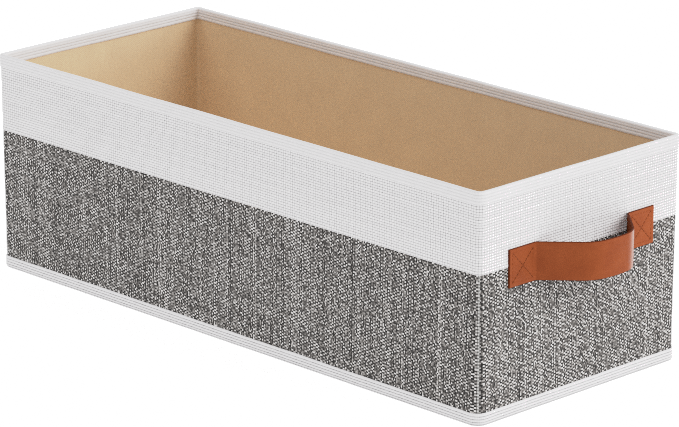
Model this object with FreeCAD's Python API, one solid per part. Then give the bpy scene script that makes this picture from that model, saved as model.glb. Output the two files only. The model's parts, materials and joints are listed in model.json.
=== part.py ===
import FreeCAD, Part
import math
import os
from FreeCAD import Vector

os.makedirs("parts", exist_ok=True)

# Open fabric storage bin: board-stiffened walls inside a sewn fabric sleeve,
# bound at the rim and at the foot with woven tape, with a loose base board and
# a leather strap handle on each end wall.
# Millimetres. X is the length, Y the depth, +Z up. The origin is the centre of
# the bin's footprint, on the surface that it stands on.

# ---------------------------------------------------------------- dimensions
LENGTH = 450.0            # over the outer fabric, along X
DEPTH = 183.0             # over the outer fabric, along Y
HEIGHT = 150.0            # floor to the top of the rim tape
CORNER_R = 5.0            # vertical corners, outer fabric

T_OUTER = 0.5             # outer fabric
T_BOARD = 1.5             # stiffening boards in the walls
T_LINING = 0.3            # non-woven lining
T_TAPE = 0.4              # binding tape, one layer
T_FOOT = 0.5              # underside cloth and the tape's turn under the foot

BAND_Z = 97.4             # seam between the middle panel and the upper band
RIM_TAPE_OUT = 8.0        # tape height outside the rim
RIM_TAPE_IN = 7.5         # tape height inside the rim
FOOT_TAPE = 8.15          # tape height above the floor
FOOT_TURN = 8.5           # width of the tape turned under the foot

THREAD_H = 0.3            # sewing thread rows on the tapes
THREAD_PROUD = 0.15
RIM_THREAD_Z = 143.3
FOOT_THREAD_Z = 6.9

BASE_GAP = 0.3            # base board above the floor lining
BASE_HX = 221.0           # half length of the covered base board
BASE_HY = 87.5            # half depth
BASE_R = 3.0
BASE_CORE = 2.5
BASE_COVER = 0.3

STRAP_W = 25.0            # handle strap width
STRAP_T = 1.3             # handle strap thickness
STRAP_Z = 96.5            # height of the strap's centre line
PATCH_END = 66.3          # outer end of each sewn end, from the centre plane
FOLD_Y = 42.3             # where the strap leaves the wall
FOLD_R = 2.0              # centre-line radius at that fold
LEG_X = 21.3              # end of the straight leg: distance out of the wall
LEG_Y = 23.5              # and from the centre plane
SHOULDER_R = 22.0         # centre-line radius of the shoulder
CROWN_TURN = 8.0          # degrees left for the shallow crown
HINGE_R = 20.0            # the loop swings outside this radius
HINGE_GAP = 0.3

STITCH_IN = 2.5           # box-and-cross seam, inset from the strap's edges
STITCH_W = 0.5
STITCH_PROUD = 0.25

HX = LENGTH / 2.0
HY = DEPTH / 2.0


# ------------------------------------------------------------------- helpers
def rounded_prism(hx, hy, r, z0, z1):
    """Upright prism with a rounded-rectangle section, half sizes hx and hy."""
    c = math.sqrt(0.5)
    edges = []
    corners = [(1, 1), (-1, 1), (-1, -1), (1, -1)]
    start = []
    end = []
    mids = []
    for sx, sy in corners:
        cx, cy = sx * (hx - r), sy * (hy - r)
        if sx * sy > 0:
            start.append(Vector(cx + sx * r, cy, 0))
            end.append(Vector(cx, cy + sy * r, 0))
        else:
            start.append(Vector(cx, cy + sy * r, 0))
            end.append(Vector(cx + sx * r, cy, 0))
        mids.append(Vector(cx + sx * r * c, cy + sy * r * c, 0))
    for i in range(4):
        edges.append(Part.Arc(start[i], mids[i], end[i]).toShape())
        j = (i + 1) % 4
        edges.append(Part.LineSegment(end[i], start[j]).toShape())
    face = Part.Face(Part.Wire(edges))
    face.translate(Vector(0, 0, z0))
    return face.extrude(Vector(0, 0, z1 - z0))


def ring(out, inn, z0, z1):
    """Ring between two (inset, radius) outlines; insets are from the outer fabric."""
    a = rounded_prism(HX - out, HY - out, CORNER_R - out, z0, z1)
    b = rounded_prism(HX - inn, HY - inn, CORNER_R - inn, z0 - 1, z1 + 1)
    return a.cut(b)


def box(x0, x1, y0, y1, z0, z1):
    return Part.makeBox(x1 - x0, y1 - y0, z1 - z0, Vector(x0, y0, z0))


def save(name, shape):
    shape = shape.removeSplitter() if len(shape.Solids) == 1 else shape
    solids = shape.Solids
    if len(solids) == 1:
        shape = solids[0]
    assert shape.isValid(), name
    shape.exportStep("parts/%s.step" % name)
    bb = shape.BoundBox
    print("%-26s solids %d  volume %10.1f  x %.2f %.2f  y %.2f %.2f  z %.2f %.2f" % (
        name, len(solids), shape.Volume, bb.XMin, bb.XMax, bb.YMin, bb.YMax, bb.ZMin, bb.ZMax))


# --------------------------------------------------- layers, outside to inside
in_board = T_OUTER                       # outer face of the wall boards
in_lining = in_board + T_BOARD           # outer face of the lining
in_clear = in_lining + T_LINING          # inner face of the lining
in_tape = in_clear + T_TAPE              # inner face of the rim tape
z_top = HEIGHT - T_TAPE                  # top of boards, fabric and lining
z_foot = T_FOOT                          # boards and sleeve stand on this

# four stiffening boards, flat, stopping where the corners round
save("front_wall_board", box(-(HX - CORNER_R), HX - CORNER_R, -(HY - in_board), -(HY - in_lining), z_foot, z_top))
save("back_wall_board", box(-(HX - CORNER_R), HX - CORNER_R, HY - in_lining, HY - in_board, z_foot, z_top))
save("left_wall_board", box(-(HX - in_board), -(HX - in_lining), -(HY - CORNER_R), HY - CORNER_R, z_foot, z_top))
save("right_wall_board", box(HX - in_lining, HX - in_board, -(HY - CORNER_R), HY - CORNER_R, z_foot, z_top))

# outer fabric: two sleeves joined at one level seam
save("middle_panel", ring(0, in_board, z_foot, BAND_Z))
save("upper_band", ring(0, in_board, BAND_Z, z_top))

# rim tape folded over the top edge of every layer
rim = ring(-T_TAPE, 0, HEIGHT - RIM_TAPE_OUT, z_top)
rim = rim.fuse(ring(in_clear, in_tape, HEIGHT - RIM_TAPE_IN, z_top))
rim = rim.fuse(ring(-T_TAPE, in_tape, z_top, HEIGHT))
save("rim_binding", rim)

# foot tape: up the wall and turned under the foot
foot_in_x = HX - FOOT_TURN
foot_in_y = HY - FOOT_TURN
under_outer = rounded_prism(HX + T_TAPE, HY + T_TAPE, CORNER_R + T_TAPE, 0, z_foot)
under_inner = rounded_prism(foot_in_x, foot_in_y, 2.0, -1, z_foot + 1)
foot = ring(-T_TAPE, 0, z_foot, FOOT_TAPE).fuse(under_outer.cut(under_inner))
save("bottom_binding", foot)

# cloth under the foot, lining of the floor and of the walls
save("underside_cloth", rounded_prism(foot_in_x, foot_in_y, 2.0, 0, z_foot))
z_floor = z_foot + T_LINING
save("floor_lining", rounded_prism(HX - in_lining, HY - in_lining, CORNER_R - in_lining, z_foot, z_floor))
save("wall_lining", ring(in_lining, in_clear, z_floor, z_top))

# sewing thread of the two tapes, one row outside and, at the rim, one inside
rim_thread = Part.makeCompound([
    ring(-T_TAPE - THREAD_PROUD, -T_TAPE, RIM_THREAD_Z, RIM_THREAD_Z + THREAD_H),
    ring(in_tape, in_tape + THREAD_PROUD, RIM_THREAD_Z, RIM_THREAD_Z + THREAD_H)])
save("rim_stitching", rim_thread)
save("bottom_stitching", ring(-T_TAPE - THREAD_PROUD, -T_TAPE, FOOT_THREAD_Z, FOOT_THREAD_Z + THREAD_H))

# ------------------------------------------------------------ loose base board
# a board in a cover of lining cloth: an upper and a lower half, meeting at
# mid-thickness round the edge
zb = z_floor + BASE_GAP
zc0, zc1 = zb + BASE_COVER, zb + BASE_COVER + BASE_CORE
zt = zc1 + BASE_COVER
z_mid = 0.5 * (zc0 + zc1)
core = rounded_prism(BASE_HX - BASE_COVER, BASE_HY - BASE_COVER, BASE_R - BASE_COVER, zc0, zc1)
save("base_board_core", core)
save("base_board_cover_under", rounded_prism(BASE_HX, BASE_HY, BASE_R, zb, z_mid).cut(core))
save("base_board_cover_top", rounded_prism(BASE_HX, BASE_HY, BASE_R, z_mid, zt).cut(core))


# --------------------------------------------------------------- strap handles
def strap_profile():
    """Closed outline of the whole strap seen from above, in (out, along):
    out is the distance from the wall, along the distance from the centre plane."""
    half = STRAP_T / 2.0
    leg = math.atan2(LEG_X - half, FOLD_Y - LEG_Y)
    lead = FOLD_R * math.tan(leg / 2.0)
    crown = math.radians(CROWN_TURN)

    # path: list of (kind, value); heading 0 runs along the wall to the centre plane
    x, y, h = half, PATCH_END, 0.0
    run = math.hypot(LEG_X - half, FOLD_Y - LEG_Y) - lead
    # the crown radius is set so that the path arrives square at the centre plane
    y_after = LEG_Y - SHOULDER_R * (math.sin(leg) - math.sin(crown))
    crown_r = y_after / math.sin(crown)
    steps = [("line", PATCH_END - FOLD_Y - lead), ("arc", FOLD_R, leg), ("line", run),
             ("arc", SHOULDER_R, crown - leg), ("arc", crown_r, -crown)]

    def point(px, py, ph, off):
        # off > 0 is the side away from the bin
        return Vector(px + math.cos(ph) * off, py + math.sin(ph) * off, 0)

    outer, inner = [], []
    for s in steps:
        if s[0] == "line":
            nx, ny = x + math.sin(h) * s[1], y - math.cos(h) * s[1]
            outer.append(("line", point(x, y, h, half), point(nx, ny, h, half)))
            inner.append(("line", point(x, y, h, -half), point(nx, ny, h, -half)))
            x, y = nx, ny
        else:
            r, turn = s[1], s[2]
            sg = 1.0 if turn > 0 else -1.0
            # centre is on the outer side for a turn away from the wall
            cx, cy = x + math.cos(h) * r * sg, y + math.sin(h) * r * sg

            def at(hh, off):
                rr = r * sg - off
                return Vector(cx - math.cos(hh) * rr, cy - math.sin(hh) * rr, 0)
            hm, h1 = h + turn / 2.0, h + turn
            outer.append(("arc", at(h, half), at(hm, half), at(h1, half)))
            inner.append(("arc", at(h, -half), at(hm, -half), at(h1, -half)))
            x, y = at(h1, 0).x, at(h1, 0).y
            h = h1

    def edge(e):
        if e[0] == "line":
            return Part.LineSegment(e[1], e[2]).toShape()
        return Part.Arc(e[1], e[2], e[3]).toShape()

    def flip(e):
        return (e[0],) + tuple(Vector(p.x, -p.y, 0) for p in reversed(e[1:]))

    def back(e):
        return (e[0],) + tuple(reversed(e[1:]))

    loop = list(outer) + [flip(e) for e in reversed(outer)]
    first_in, last_in = inner[0][1], flip(inner[0])[-1]
    loop.append(("line", loop[-1][-1], last_in))
    loop += [back(flip(e)) for e in inner]
    loop += [back(e) for e in reversed(inner)]
    loop.append(("line", first_in, outer[0][1]))
    edges = [edge(e) for e in loop]
    print("strap crown radius %.2f, reach %.2f" % (crown_r, x + half))
    return Part.Wire(Part.__sortEdges__(edges))


def strap_solid():
    face = Part.Face(strap_profile())
    s = face.extrude(Vector(0, 0, STRAP_W))
    s.translate(Vector(HX, 0, STRAP_Z - STRAP_W / 2.0))
    return s


def cross_stitch(sign):
    """Box and cross of sewing thread on the face of one sewn end."""
    y0, y1 = FOLD_Y + STITCH_IN, PATCH_END - STITCH_IN
    z0, z1 = STRAP_Z - STRAP_W / 2.0 + STITCH_IN, STRAP_Z + STRAP_W / 2.0 - STITCH_IN
    x0, x1 = HX + STRAP_T, HX + STRAP_T + STITCH_PROUD
    w = STITCH_W
    frame = box(x0, x1, y0, y1, z0, z1).cut(box(x0 - 1, x1 + 1, y0 + w, y1 - w, z0 + w, z1 - w))
    inside = box(x0, x1, y0 + w / 2, y1 - w / 2, z0 + w / 2, z1 - w / 2)
    out = frame
    for d in (1, -1):
        ang = math.degrees(math.atan2(z1 - z0, y1 - y0)) * d
        bar = Part.makeBox(x1 - x0, 60, w, Vector(x0, -30, -w / 2))
        bar.rotate(Vector(0, 0, 0), Vector(1, 0, 0), ang)
        bar.translate(Vector(0, (y0 + y1) / 2, (z0 + z1) / 2))
        out = out.fuse(bar.common(inside))
    out = out.removeSplitter()
    if sign < 0:
        out = out.mirror(Vector(0, 0, 0), Vector(0, 1, 0))
    return out


whole = strap_solid()
axis_at = Vector(HX + STRAP_T / 2.0, -100, STRAP_Z)
fixed = whole.common(Part.makeCylinder(HINGE_R, 200, axis_at, Vector(0, 1, 0)))
loop_right = whole.cut(Part.makeCylinder(HINGE_R + HINGE_GAP, 200, axis_at, Vector(0, 1, 0)))
ends = sorted(fixed.Solids, key=lambda s: s.CenterOfMass.y)
assert len(ends) == 2 and len(loop_right.Solids) == 1

for side in ("right", "left"):
    pieces = {
        "strap_end_front": ends[0],
        "strap_end_back": ends[1],
        "strap_loop": loop_right,
        "stitch_front": cross_stitch(-1),
        "stitch_back": cross_stitch(1),
    }
    for key, shape in pieces.items():
        shape = shape.copy()
        if side == "left":
            shape = shape.mirror(Vector(0, 0, 0), Vector(1, 0, 0))
        save("%s_handle_%s" % (side, key), shape)
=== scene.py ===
import json
import math

import bpy
import numpy as np
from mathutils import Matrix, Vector


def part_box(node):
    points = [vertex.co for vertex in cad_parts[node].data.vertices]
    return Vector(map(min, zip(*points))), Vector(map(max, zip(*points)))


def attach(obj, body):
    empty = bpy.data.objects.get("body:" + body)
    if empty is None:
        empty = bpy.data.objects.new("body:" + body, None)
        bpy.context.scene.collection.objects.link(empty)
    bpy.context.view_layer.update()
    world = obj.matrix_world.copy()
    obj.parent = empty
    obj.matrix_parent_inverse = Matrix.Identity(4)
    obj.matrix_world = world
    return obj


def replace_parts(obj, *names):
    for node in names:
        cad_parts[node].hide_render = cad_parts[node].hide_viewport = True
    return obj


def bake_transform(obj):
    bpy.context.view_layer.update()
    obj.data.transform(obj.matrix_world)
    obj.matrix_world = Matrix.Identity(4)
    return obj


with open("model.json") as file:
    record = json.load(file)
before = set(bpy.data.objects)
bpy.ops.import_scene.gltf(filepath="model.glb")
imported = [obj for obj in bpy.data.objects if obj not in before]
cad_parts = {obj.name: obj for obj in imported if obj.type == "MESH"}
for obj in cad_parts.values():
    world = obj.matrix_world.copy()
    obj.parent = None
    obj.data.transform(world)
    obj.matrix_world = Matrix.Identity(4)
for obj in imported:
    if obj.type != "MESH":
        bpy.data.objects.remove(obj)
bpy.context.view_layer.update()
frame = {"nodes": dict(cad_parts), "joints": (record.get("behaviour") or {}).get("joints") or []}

MM = 0.001
RIB = 1.85                               # rib pitch of the binding tape


def mm(v):
    return [x * 1000.0 for x in v]


# ------------------------------------------------------------------ from the CAD
band_lo, band_hi = (mm(v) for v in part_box("upper_band"))
rim_lo, rim_hi = (mm(v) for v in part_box("rim_binding"))
foot_lo, foot_hi = (mm(v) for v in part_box("bottom_binding"))
lin_lo, lin_hi = (mm(v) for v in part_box("wall_lining"))
flo_lo, flo_hi = (mm(v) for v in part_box("floor_lining"))
und_lo, und_hi = (mm(v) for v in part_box("underside_cloth"))
cvt_lo, cvt_hi = (mm(v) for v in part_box("base_board_cover_top"))
cvu_lo, cvu_hi = (mm(v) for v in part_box("base_board_cover_under"))
end_lo, end_hi = (mm(v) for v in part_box("right_handle_strap_end_back"))
loop_lo, loop_hi = (mm(v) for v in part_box("right_handle_strap_loop"))
sti_lo, sti_hi = (mm(v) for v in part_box("right_handle_stitch_back"))

HX, HY = band_hi[0], band_hi[1]          # outer fabric half sizes
TOP = rim_hi[2]
BAND_Z = band_lo[2]
FOOT_TAPE = foot_hi[2]
RIM_Z = rim_lo[2]
R_NOM = 5.0                              # corner radius of the CAD's outer fabric
JOINTS = {j["name"]: j for j in frame["joints"]}


# ---------------------------------------------------------------- outline columns
def ring_columns(nx, ny, nc):
    """Columns round the bin, anticlockwise from above, starting at the back left corner."""
    cx, cy, th, u = [], [], [], []
    at = 0.0
    arc = R_NOM * math.pi / 2
    lx, ly = 2 * (HX - R_NOM), 2 * (HY - R_NOM)

    def corner(sx, sy, a0):
        nonlocal at
        for k in range(nc):
            cx.append(sx), cy.append(sy), th.append(math.radians(a0 + 90.0 * k / nc)), u.append(at + arc * k / nc)
        at += arc

    def side(a, b, ang, n, length):
        nonlocal at
        for k in range(n):
            t = k / n
            cx.append(a[0] + (b[0] - a[0]) * t), cy.append(a[1] + (b[1] - a[1]) * t)
            th.append(math.radians(ang)), u.append(at + length * t)
        at += length

    corner(-1, 1, 90)
    side((-1, 1), (-1, -1), 180, ny, ly)
    corner(-1, -1, 180)
    side((-1, -1), (1, -1), 270, nx, lx)
    corner(1, -1, 270)
    side((1, -1), (1, 1), 0, ny, ly)
    corner(1, 1, 0)
    side((1, 1), (-1, 1), 90, nx, lx)
    return np.array(cx), np.array(cy), np.array(th), np.array(u), at


CX, CY, TH, U, AROUND = ring_columns(180, 74, 12)
NX_, NY_ = np.cos(TH), np.sin(TH)
ARC = R_NOM * math.pi / 2
CORNERS_U = [ARC / 2,
             ARC * 1.5 + 2 * (HY - R_NOM),
             ARC * 2.5 + 2 * (HY - R_NOM) + 2 * (HX - R_NOM),
             ARC * 3.5 + 4 * (HY - R_NOM) + 2 * (HX - R_NOM)]


def corner_radius(z):
    t = np.clip(1.0 - np.asarray(z, float) / TOP, 0, 1)
    return 4.3 + 2.7 * t ** 1.3


def near_corner(u, width):
    """1 at the four corners, falling off over width mm."""
    out = np.zeros_like(u)
    for c in CORNERS_U:
        g = np.abs((u - c + AROUND / 2) % AROUND - AROUND / 2)
        out = np.maximum(out, np.exp(-(g / width) ** 2))
    return out


class Waves:
    """Smooth seeded unevenness, periodic round the bin, about -1 to 1."""

    def __init__(self, seed, wave_u, wave_z, n=14):
        rng = np.random.default_rng(seed)
        lu = wave_u[0] * (wave_u[1] / wave_u[0]) ** rng.random(n)
        lz = wave_z[0] * (wave_z[1] / wave_z[0]) ** rng.random(n)
        self.ku = np.maximum(1, np.round(AROUND / lu)) * 2 * np.pi / AROUND
        self.kz = 2 * np.pi / lz * np.sign(rng.random(n) - 0.5)
        self.ph = rng.random(n) * 2 * np.pi
        self.am = rng.uniform(0.5, 1.0, n)
        self.am /= np.sqrt((self.am ** 2).sum() / 2) * 2.0

    def __call__(self, u, z):
        u, z = np.broadcast_arrays(np.asarray(u, float), np.asarray(z, float))
        out = np.zeros(u.shape)
        for a, ku, kz, p in zip(self.am, self.ku, self.kz, self.ph):
            out += a * np.sin(ku * u + kz * z + p)
        return out


# ------------------------------------------------------------------------ meshes
def link(name, me):
    ob = bpy.data.objects.new(name, me)
    bpy.context.scene.collection.objects.link(ob)
    return ob


def grid_mesh(name, P, us, vs, closed_u=True, closed_v=True, u_total=None, v_total=None, mats=(), mat_rows=None,
              caps=False, sharp=None):
    """A mesh from P[row, col] in mm. us and vs are the cloth's own coordinates, in mm."""
    m, n = P.shape[:2]
    P = P.reshape(-1, 3) * MM
    jj = np.arange(m if closed_v else m - 1)
    ii = np.arange(n if closed_u else n - 1)
    J, I = np.meshgrid(jj, ii, indexing="ij")
    J, I = J.ravel(), I.ravel()
    J1, I1 = (J + 1) % m, (I + 1) % n
    quads = np.stack([J * n + I, J * n + I1, J1 * n + I1, J1 * n + I], axis=1)
    ue = np.append(us, u_total if u_total is not None else us[-1])
    ve = np.append(vs, v_total if v_total is not None else vs[-1])
    uv = np.stack([np.stack([ue[I], ve[J]], 1), np.stack([ue[I + 1], ve[J]], 1),
                   np.stack([ue[I + 1], ve[J + 1]], 1), np.stack([ue[I], ve[J + 1]], 1)], axis=1)
    faces = quads.tolist()
    uvs = uv.reshape(-1, 2)
    rows = J.copy()
    if caps:
        first = [j * n for j in range(m)]
        last = [j * n + n - 1 for j in range(m)]
        faces.append(first)
        faces.append(last[::-1])
        uvs = np.concatenate([uvs, np.zeros((2 * m, 2))])
        rows = np.append(rows, [-1, -1])
    me = bpy.data.meshes.new(name)
    me.from_pydata(P.tolist(), [], faces)
    layer = me.uv_layers.new(name="cloth")
    layer.data.foreach_set("uv", uvs.astype(np.float32).ravel())
    for mat in mats:
        me.materials.append(mat)
    if mat_rows is not None:
        idx = np.array([mat_rows(r) for r in rows], np.int32)
        me.polygons.foreach_set("material_index", idx)
    me.polygons.foreach_set("use_smooth", np.ones(len(me.polygons), bool))
    me.update()
    me.validate()
    # face outwards
    me.calc_loop_triangles()
    tri = np.zeros(len(me.loop_triangles) * 3, np.int32)
    me.loop_triangles.foreach_get("vertices", tri)
    tri = tri.reshape(-1, 3)
    a, b, c = P[tri[:, 0]], P[tri[:, 1]], P[tri[:, 2]]
    if (a * np.cross(b, c)).sum() < 0:
        me.flip_normals()
    if sharp is not None:
        me.set_sharp_from_angle(angle=math.radians(sharp))
    return link(name, me)


def ring_points(D, Z, R=None, dn=0.0, dz=0.0):
    """Points at inset D and height Z round the bin (rows by columns), pushed out by dn and up by dz."""
    D, Z = np.asarray(D, float), np.asarray(Z, float)
    if D.ndim == 1:
        D = np.repeat(D[:, None], len(U), 1)
    if Z.ndim == 1:
        Z = np.repeat(Z[:, None], len(U), 1)
    r = np.maximum((corner_radius(Z) if R is None else R) - D, 0.7)
    x = CX[None, :] * (HX - D - r) + r * NX_[None, :] + dn * NX_[None, :]
    y = CY[None, :] * (HY - D - r) + r * NY_[None, :] + dn * NY_[None, :]
    return np.stack([x, y, Z + dz], axis=2)


def along(D, Z):
    """Distance along a profile."""
    D, Z = np.asarray(D, float), np.asarray(Z, float)
    s = np.hypot(np.diff(D, append=D[0]), np.diff(Z, append=Z[0]))
    return np.concatenate([[0], np.cumsum(s)])


def ring(name, D, Z, mats, dn=0.0, dz=0.0, v=None, mat_rows=None, sharp=None):
    s = along(D, Z)
    vs = s[:-1] if v is None else np.asarray(v, float)
    vt = s[-1] if v is None else vs[-1] + 0.5
    P = ring_points(D, Z, dn=dn, dz=dz)
    return grid_mesh(name, P, U, vs, u_total=AROUND, v_total=vt, mats=mats, mat_rows=mat_rows, sharp=sharp)


# --------------------------------------------------------------------- materials
class Mat:
    def __init__(self, name):
        self.m = bpy.data.materials.new(name)
        self.m.use_nodes = True
        self.t = self.m.node_tree
        self.t.nodes.clear()
        out = self.t.nodes.new("ShaderNodeOutputMaterial")
        self.p = self.t.nodes.new("ShaderNodeBsdfPrincipled")
        self.t.links.new(self.p.outputs[0], out.inputs[0])

    def put(self, socket, value):
        if isinstance(value, bpy.types.NodeSocket):
            self.t.links.new(value, socket)
        elif isinstance(value, (tuple, list)) and len(value) == 3 and socket.type == "RGBA":
            socket.default_value = (*value, 1.0)
        else:
            socket.default_value = value

    def node(self, kind, **props):
        n = self.t.nodes.new(kind)
        for k, v in props.items():
            setattr(n, k, v)
        return n

    def math(self, op, a, b=None, c=None, clamp=False):
        n = self.node("ShaderNodeMath", operation=op, use_clamp=clamp)
        self.put(n.inputs[0], a)
        if b is not None:
            self.put(n.inputs[1], b)
        if c is not None:
            self.put(n.inputs[2], c)
        return n.outputs[0]

    def add(self, a, b): return self.math("ADD", a, b)
    def sub(self, a, b): return self.math("SUBTRACT", a, b)
    def mul(self, a, b): return self.math("MULTIPLY", a, b)
    def madd(self, a, b, c): return self.math("MULTIPLY_ADD", a, b, c)

    def cloth(self):
        n = self.node("ShaderNodeUVMap", uv_map="cloth")
        s = self.node("ShaderNodeSeparateXYZ")
        self.put(s.inputs[0], n.outputs[0])
        return s.outputs[0], s.outputs[1]

    def place(self):
        """Position on the object itself, in mm."""
        n = self.node("ShaderNodeTexCoord")
        v = self.node("ShaderNodeVectorMath", operation="SCALE")
        self.put(v.inputs[0], n.outputs["Object"])
        v.inputs["Scale"].default_value = 1000.0
        return v.outputs[0]

    def vec(self, x, y=0.0, z=0.0):
        n = self.node("ShaderNodeCombineXYZ")
        self.put(n.inputs[0], x), self.put(n.inputs[1], y), self.put(n.inputs[2], z)
        return n.outputs[0]

    def noise(self, v, scale=1.0, detail=2.0, rough=0.5, dims="3D", distort=0.0):
        n = self.node("ShaderNodeTexNoise", noise_dimensions=dims)
        self.put(n.inputs["Vector"], v)
        n.inputs["Scale"].default_value = scale
        n.inputs["Detail"].default_value = detail
        n.inputs["Roughness"].default_value = rough
        n.inputs["Distortion"].default_value = distort
        return n.outputs["Fac"]

    def white(self, v):
        n = self.node("ShaderNodeTexWhiteNoise", noise_dimensions="2D")
        self.put(n.inputs["Vector"], v)
        return n.outputs["Value"]

    def voronoi(self, v, scale, feature="F1", rand=1.0):
        n = self.node("ShaderNodeTexVoronoi", feature=feature)
        self.put(n.inputs["Vector"], v)
        n.inputs["Scale"].default_value = scale
        n.inputs["Randomness"].default_value = rand
        return n.outputs["Distance"]

    def smooth(self, x, a, b, lo=0.0, hi=1.0):
        n = self.node("ShaderNodeMapRange", interpolation_type="SMOOTHSTEP")
        self.put(n.inputs["Value"], x)
        for k, v in (("From Min", a), ("From Max", b), ("To Min", lo), ("To Max", hi)):
            self.put(n.inputs[k], v)
        return n.outputs["Result"]

    def linear(self, x, a, b, lo=0.0, hi=1.0):
        n = self.node("ShaderNodeMapRange")
        self.put(n.inputs["Value"], x)
        for k, v in (("From Min", a), ("From Max", b), ("To Min", lo), ("To Max", hi)):
            self.put(n.inputs[k], v)
        return n.outputs["Result"]

    def ramp(self, x, stops, mode="LINEAR"):
        n = self.node("ShaderNodeValToRGB")
        n.color_ramp.interpolation = mode
        e = n.color_ramp.elements
        while len(e) < len(stops):
            e.new(0.5)
        for k, (pos, col) in enumerate(stops):
            e[k].position = pos
            e[k].color = (*col, 1.0)
        self.put(n.inputs[0], x)
        return n.outputs[0]

    def mix(self, f, a, b, mode="MIX"):
        n = self.node("ShaderNodeMix", data_type="RGBA", blend_type=mode)
        self.put(n.inputs["Factor"], f)
        ins = [s for s in n.inputs if s.type == "RGBA"]
        self.put(ins[0], a), self.put(ins[1], b)
        return [s for s in n.outputs if s.type == "RGBA"][0]

    def tint(self, colour, by):
        """colour times the number by."""
        v = self.node("ShaderNodeVectorMath", operation="SCALE")
        self.put(v.inputs[0], colour)
        self.put(v.inputs["Scale"], by)
        return v.outputs[0]

    def bump(self, height, distance, strength=1.0, normal=None):
        n = self.node("ShaderNodeBump")
        n.inputs["Strength"].default_value = strength
        n.inputs["Distance"].default_value = distance
        self.put(n.inputs["Height"], height)
        if normal is not None:
            self.put(n.inputs["Normal"], normal)
        return n.outputs[0]

    def finish(self, colour, rough, normal=None, **plain):
        self.put(self.p.inputs["Base Color"], colour)
        self.put(self.p.inputs["Roughness"], rough)
        if normal is not None:
            self.put(self.p.inputs["Normal"], normal)
        for k, v in plain.items():
            self.put(self.p.inputs[k.replace("_", " ")], v)
        return self.m


def weave(k, pitch_u, pitch_v, wander_u, wander_v, seed):
    """Plain weave: returns heights and yarn numbers from the cloth's own coordinates."""
    u, v = k.cloth()
    n1 = k.noise(k.vec(k.mul(u, 0.045), k.mul(v, 0.16), seed), 1.0, 2.0)
    n2 = k.noise(k.vec(k.mul(u, 0.035), k.mul(v, 0.20), seed + 9.0), 1.0, 2.0)
    cf = k.add(k.math("DIVIDE", u, pitch_u), k.mul(k.sub(n1, 0.5), wander_u))
    rf = k.add(k.math("DIVIDE", v, pitch_v), k.mul(k.sub(n2, 0.5), wander_v))
    fr, fc = k.math("FRACT", rf), k.math("FRACT", cf)
    ir, ic = k.math("FLOOR", rf), k.math("FLOOR", cf)
    tr = k.madd(fr, 2.0, -1.0)
    tc = k.madd(fc, 2.0, -1.0)
    wv = k.sub(1.0, k.mul(tr, tr))
    wu = k.sub(1.0, k.mul(tc, tc))
    s = k.math("SINE", k.mul(k.add(cf, ir), math.pi))
    t = k.math("SINE", k.mul(k.add(rf, ic), math.pi))
    return dict(u=u, v=v, fr=fr, fc=fc, ir=ir, ic=ic, wv=wv, wu=wu, s=s, t=t)


def white_fabric():
    k = Mat("white_fabric")
    w = weave(k, 2.10, 1.72, 0.7, 0.22, 3.0)
    u, v, ir, ic = w["u"], w["v"], w["ir"], w["ic"]
    slub_r = k.noise(k.vec(k.mul(u, 0.12), k.mul(ir, 5.17), 1.0), 1.0, 2.0)
    slub_c = k.noise(k.vec(k.mul(v, 0.09), k.mul(ic, 6.31), 4.0), 1.0, 1.0)
    rr = k.white(k.vec(ir, 11.0))
    rc = k.white(k.vec(ic, 23.0))
    cell = k.white(k.vec(k.madd(ic, 1.3, 2.0), k.madd(ir, 1.9, 7.0)))
    weft = k.mul(w["wv"], k.madd(w["s"], 0.20, k.madd(slub_r, 0.35, 0.62)))
    warp = k.mul(w["wu"], k.madd(w["t"], -0.26, k.madd(slub_c, 0.40, 0.16)))
    h = k.math("SMOOTH_MAX", weft, warp, 0.12)
    fibre = k.noise(k.vec(k.mul(u, 1.6), k.mul(v, 5.5), 0.0), 1.0, 3.0, 0.65)
    h = k.madd(fibre, 0.16, h)
    # painted shade in the open gaps between the weft ribs, darkest where a warp yarn dives under
    gap_r = k.smooth(w["wv"], 0.55, 0.02)
    dive = k.smooth(k.mul(w["s"], -1.0), -0.5, 0.9)
    gap_c = k.smooth(w["wu"], 0.45, 0.0)
    gap_shade = k.mul(gap_r, k.madd(dive, 0.20, k.madd(cell, 0.12, 0.78)))
    gap_shade = k.math("MAXIMUM", gap_shade, k.mul(gap_c, k.madd(rc, 0.50, 0.50)))
    cloud = k.noise(k.vec(k.mul(u, 0.020), k.mul(v, 0.035), 7.0), 1.0, 3.0)
    tone = k.madd(rr, 0.08, k.madd(rc, 0.06, k.madd(slub_r, 0.14, 0.88)))
    tone = k.mul(k.mul(tone, k.madd(cloud, 0.05, 0.975)), k.sub(1.0, gap_shade))
    col = k.tint((0.912, 0.893, 0.904), tone)
    n = k.bump(h, 0.00030, 0.8)
    return k.finish(col, k.linear(h, 0, 1, 0.95, 0.82), n, Sheen_Weight=0.2, Sheen_Roughness=0.5,
                    Specular_IOR_Level=0.2)


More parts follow.
